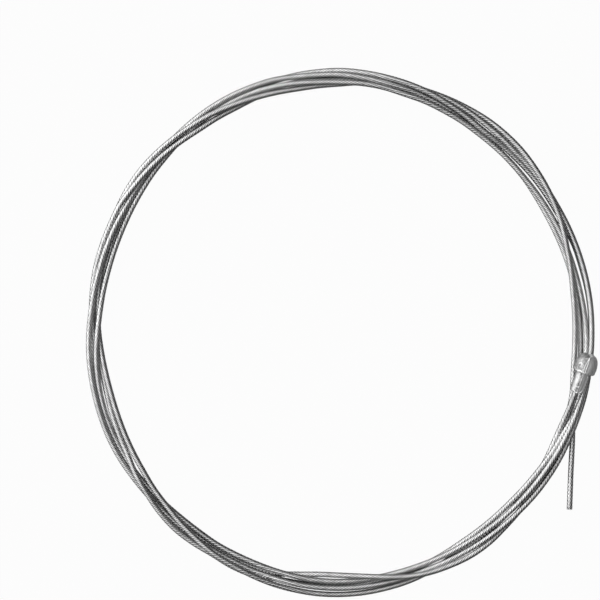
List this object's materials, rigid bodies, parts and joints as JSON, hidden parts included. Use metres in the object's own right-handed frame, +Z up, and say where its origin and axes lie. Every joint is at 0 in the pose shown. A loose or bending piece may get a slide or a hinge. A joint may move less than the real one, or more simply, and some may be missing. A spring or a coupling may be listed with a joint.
{
  "type": "bicycle brake cable",
  "caption": "Stranded steel brake cable for a bicycle with a cast mushroom head on one end, wound into a flat round coil with the cut end lying beside it.",
  "frame": {"origin": "middle of the cable's box, on the surface that the coil lies on", "axes": "+Z up out of the coil, +Y along the coil's longer width, +X towards the side where the head lies"},
  "size_m": [0.1328, 0.1376, 0.0097],
  "materials": {
    "rope_steel": "bright drawn wire, stranded",
    "head_metal": "pale grey as cast, satin"
  },
  "bodies": {
    "root": {"cable_head": "head_metal", "cable_lead": "rope_steel", "cable_coil": "rope_steel", "cable_tail": "rope_steel"}
  },
  "joints": []
}
